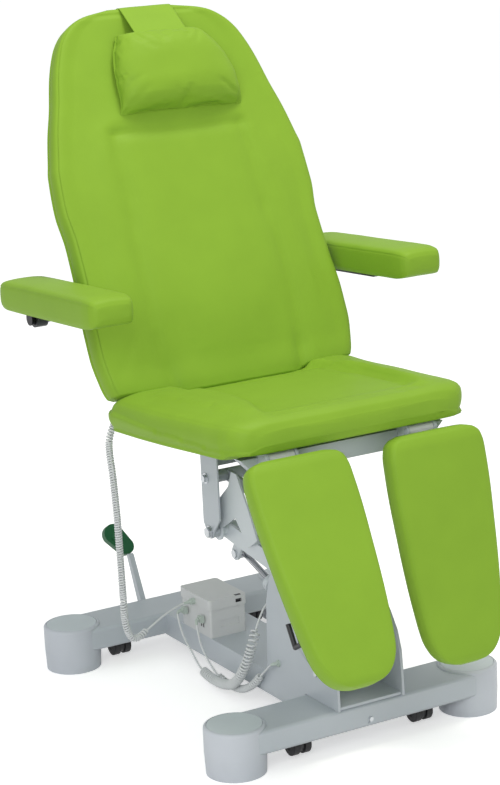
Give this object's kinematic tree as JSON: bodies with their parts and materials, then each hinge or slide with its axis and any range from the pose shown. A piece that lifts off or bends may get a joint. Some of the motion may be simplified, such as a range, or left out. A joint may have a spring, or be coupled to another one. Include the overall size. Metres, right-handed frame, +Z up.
{
  "type": "podiatry chair",
  "caption": "Podiatry chair with a parallelogram lift on an H base with let-down castors, reclining back, armrests and two separate leg rests.",
  "frame": {"origin": "middle of the outline on the floor", "axes": "+Z up, the chair faces -Y, +X to its left side"},
  "size_m": [0.795, 1.1645, 1.3777],
  "materials": {
    "grey": "satin powder coat",
    "grey_light": "satin powder coat",
    "foot": "moulded, fine grain",
    "lid": "moulded, fine grain",
    "box": "moulded, fine grain",
    "steel": "zinc plated",
    "rod": "polished",
    "cord": "soft sheath",
    "black": "fine grain",
    "tyre": "smooth",
    "pedal": "soft",
    "green": "smooth vinyl cover"
  },
  "bodies": {
    "base": {"base_frame": "grey", "feet": "foot", "foot_lids": "lid", "pedestal": "grey", "lift_pins": "steel", "control_box": "box", "box_cover": "box", "box_plugs": "cord", "beam_bolts": "steel", "pedal_bracket": "grey", "cord_hand": "cord", "cord_lift": "cord", "cord_base": "cord"},
    "castor_carriage": {"castor_carriage": "grey"},
    "pedal": {"pedal_lever": "grey", "pedal_pad": "pedal"},
    "lift_arm": {"lift_arm": "grey_light", "rod_pin": "steel"},
    "lift_rod": {"lift_rod": "rod"},
    "lift_actuator": {"lift_actuator": "grey_light"},
    "lift_link": {"lift_link": "grey"},
    "carrier": {"carrier": "grey", "carrier_bolts": "steel", "seat_frame": "grey", "front_rail": "grey", "seat_cushion": "green"},
    "back_actuator": {"back_actuator": "grey"},
    "back_rod": {"back_rod": "rod"},
    "back": {"back_frame": "grey", "back_cushion": "green", "head_pillow": "green", "armrest_tube": "steel", "handset": "cord"},
    "key_up": {"handset_key_up": "black"},
    "key_down": {"handset_key_down": "black"},
    "armrest_left": {"armrest_arm_left": "grey", "armrest_pad_left": "green"},
    "leg_left": {"leg_arm_left": "grey"},
    "leg_slide_left": {"leg_slide_left": "steel", "leg_pad_left": "green"},
    "leg_knob_left": {"leg_knob_left": "black"},
    "leg_lever_left": {"leg_lever_left": "black"},
    "armrest_right": {"armrest_arm_right": "grey", "armrest_pad_right": "green"},
    "leg_right": {"leg_arm_right": "grey"},
    "leg_slide_right": {"leg_slide_right": "steel", "leg_pad_right": "green"},
    "leg_knob_right": {"leg_knob_right": "black"},
    "leg_lever_right": {"leg_lever_right": "black"},
    "castor_fl": {"castor_fork_fl": "black"},
    "castor_wheels_fl": {"castor_wheels_fl": "tyre"},
    "castor_fr": {"castor_fork_fr": "black"},
    "castor_wheels_fr": {"castor_wheels_fr": "tyre"},
    "castor_rl": {"castor_fork_rl": "black"},
    "castor_wheels_rl": {"castor_wheels_rl": "tyre"},
    "castor_rr": {"castor_fork_rr": "black"},
    "castor_wheels_rr": {"castor_wheels_rr": "tyre"}
  },
  "joints": [
    {"name": "lift_swing", "type": "hinge", "parent": "base", "child": "lift_arm", "pos_m": [0, -0.183, 0.315], "axis": [1, 0, 0], "range_deg": [0, 40]},
    {"name": "link_swing", "type": "hinge", "parent": "base", "child": "lift_link", "pos_m": [0, -0.178, 0.427], "axis": [1, 0, 0], "range_deg": [0, 40.1]},
    {"name": "carrier_level", "type": "hinge", "parent": "lift_arm", "child": "carrier", "pos_m": [0, 0.069, 0.35], "axis": [1, 0, 0], "range_deg": [-40.1, 0]},
    {"name": "lift_actuator_swing", "type": "hinge", "parent": "base", "child": "lift_actuator", "pos_m": [0, -0.278, 0.146], "axis": [1, 0, 0], "range_deg": [-0.02, 25.31]},
    {"name": "lift_rod_swing", "type": "hinge", "parent": "lift_arm", "child": "lift_rod", "pos_m": [0, 0.117, 0.275], "axis": [1, 0, 0], "range_deg": [-14.73, 0.02]},
    {"name": "back_recline", "type": "hinge", "parent": "carrier", "child": "back", "pos_m": [0, 0.169, 0.612], "axis": [1, 0, 0], "range_deg": [-66, 0]},
    {"name": "back_actuator_swing", "type": "hinge", "parent": "carrier", "child": "back_actuator", "pos_m": [0, -0.143, 0.528], "axis": [1, 0, 0], "range_deg": [-0.02, 0.471]},
    {"name": "back_rod_swing", "type": "hinge", "parent": "back", "child": "back_rod", "pos_m": [0, 0.19978, 0.5726], "axis": [1, 0, 0], "range_deg": [-0.02, 66.47]},
    {"name": "key_up_tilt", "type": "hinge", "parent": "back", "child": "key_up", "pos_m": [-0.235, 0.21591, 0.71461], "axis": [1, 0, 0], "range_deg": [-6, 6], "stiffness_Nm_per_rad": 0.05},
    {"name": "key_down_tilt", "type": "hinge", "parent": "back", "child": "key_down", "pos_m": [-0.209, 0.21591, 0.71461], "axis": [1, 0, 0], "range_deg": [-6, 6], "stiffness_Nm_per_rad": 0.05},
    {"name": "armrest_left_swing", "type": "hinge", "parent": "back", "child": "armrest_left", "pos_m": [0, 0.31, 0.79], "axis": [1, 0, 0], "range_deg": [-95, 0]},
    {"name": "leg_left_swing", "type": "hinge", "parent": "carrier", "child": "leg_left", "pos_m": [-0.155, -0.313, 0.6], "axis": [1, 0, 0], "range_deg": [-60, 17]},
    {"name": "leg_left_pad_slide", "type": "slide", "parent": "leg_left", "child": "leg_slide_left", "axis": [0, -0.5, -0.866], "range_m": [-0.0099, 0.0343]},
    {"name": "leg_left_knob_turn", "type": "hinge", "parent": "leg_left", "child": "leg_knob_left", "pos_m": [-0.135, -0.48801, 0.29228], "axis": [1, 0, 0], "range_deg": [-180, 180]},
    {"name": "leg_left_lever_squeeze", "type": "hinge", "parent": "leg_left", "child": "leg_lever_left", "pos_m": [-0.2, -0.40353, 0.36359], "axis": [1, 0, 0], "range_deg": [0, 14], "stiffness_Nm_per_rad": 2, "springref_deg": -2.86},
    {"name": "armrest_right_swing", "type": "hinge", "parent": "back", "child": "armrest_right", "pos_m": [0, 0.31, 0.79], "axis": [1, 0, 0], "range_deg": [-95, 0]},
    {"name": "leg_right_swing", "type": "hinge", "parent": "carrier", "child": "leg_right", "pos_m": [0.155, -0.313, 0.6], "axis": [1, 0, 0], "range_deg": [-77, 0]},
    {"name": "leg_right_pad_slide", "type": "slide", "parent": "leg_right", "child": "leg_slide_right", "axis": [0, -0.225, -0.9744], "range_m": [-0.0003, 0.0439]},
    {"name": "leg_right_knob_turn", "type": "hinge", "parent": "leg_right", "child": "leg_knob_right", "pos_m": [0.135, -0.39039, 0.25456], "axis": [-1, 0, 0], "range_deg": [-180, 180]},
    {"name": "leg_right_lever_squeeze", "type": "hinge", "parent": "leg_right", "child": "leg_lever_right", "pos_m": [0.2, -0.33046, 0.34745], "axis": [1, 0, 0], "range_deg": [0, 14], "stiffness_Nm_per_rad": 2, "springref_deg": -2.86},
    {"name": "pedal_press", "type": "hinge", "parent": "base", "child": "pedal", "pos_m": [-0.057, 0.4805, 0.066], "axis": [1, 0, 0], "range_deg": [-30, 0]},
    {"name": "castor_carriage_drop", "type": "slide", "parent": "base", "child": "castor_carriage", "axis": [0, 0, 1], "range_m": [-0.0143, 0]},
    {"name": "castor_fl_swivel", "type": "hinge", "parent": "castor_carriage", "child": "castor_fl", "pos_m": [-0.14, -0.2925, 0.06], "axis": [0, 0, 1], "continuous": true},
    {"name": "castor_fl_roll", "type": "hinge", "parent": "castor_fl", "child": "castor_wheels_fl", "pos_m": [-0.14, -0.3065, 0.03], "axis": [1, 0, 0], "continuous": true},
    {"name": "castor_fr_swivel", "type": "hinge", "parent": "castor_carriage", "child": "castor_fr", "pos_m": [0.14, -0.2925, 0.06], "axis": [0, 0, 1], "continuous": true},
    {"name": "castor_fr_roll", "type": "hinge", "parent": "castor_fr", "child": "castor_wheels_fr", "pos_m": [0.14, -0.3065, 0.03], "axis": [1, 0, 0], "continuous": true},
    {"name": "castor_rl_swivel", "type": "hinge", "parent": "castor_carriage", "child": "castor_rl", "pos_m": [-0.165, 0.4065, 0.06], "axis": [0, 0, 1], "continuous": true},
    {"name": "castor_rl_roll", "type": "hinge", "parent": "castor_rl", "child": "castor_wheels_rl", "pos_m": [-0.165, 0.3925, 0.03], "axis": [1, 0, 0], "continuous": true},
    {"name": "castor_rr_swivel", "type": "hinge", "parent": "castor_carriage", "child": "castor_rr", "pos_m": [0.165, 0.4065, 0.06], "axis": [0, 0, 1], "continuous": true},
    {"name": "castor_rr_roll", "type": "hinge", "parent": "castor_rr", "child": "castor_wheels_rr", "pos_m": [0.165, 0.3925, 0.03], "axis": [1, 0, 0], "continuous": true}
  ],
  "couplings": [
    {"joint": "link_swing", "follows": "lift_swing", "ratio": 1},
    {"joint": "carrier_level", "follows": "lift_swing", "ratio": -1},
    {"joint": "lift_actuator_swing", "follows": "lift_swing", "ratio": 0.63224},
    {"joint": "lift_rod_swing", "follows": "lift_swing", "ratio": -0.36776},
    {"joint": "back_actuator_swing", "follows": "back_recline", "ratio": -0.006835},
    {"joint": "back_rod_swing", "follows": "back_recline", "ratio": -1.0068},
    {"joint": "leg_left_pad_slide", "follows": "leg_left_swing", "m_per_rad": -0.032468},
    {"joint": "leg_right_pad_slide", "follows": "leg_right_swing", "m_per_rad": -0.032468},
    {"joint": "castor_carriage_drop", "follows": "pedal_press", "m_per_rad": 0.026738}
  ]
}
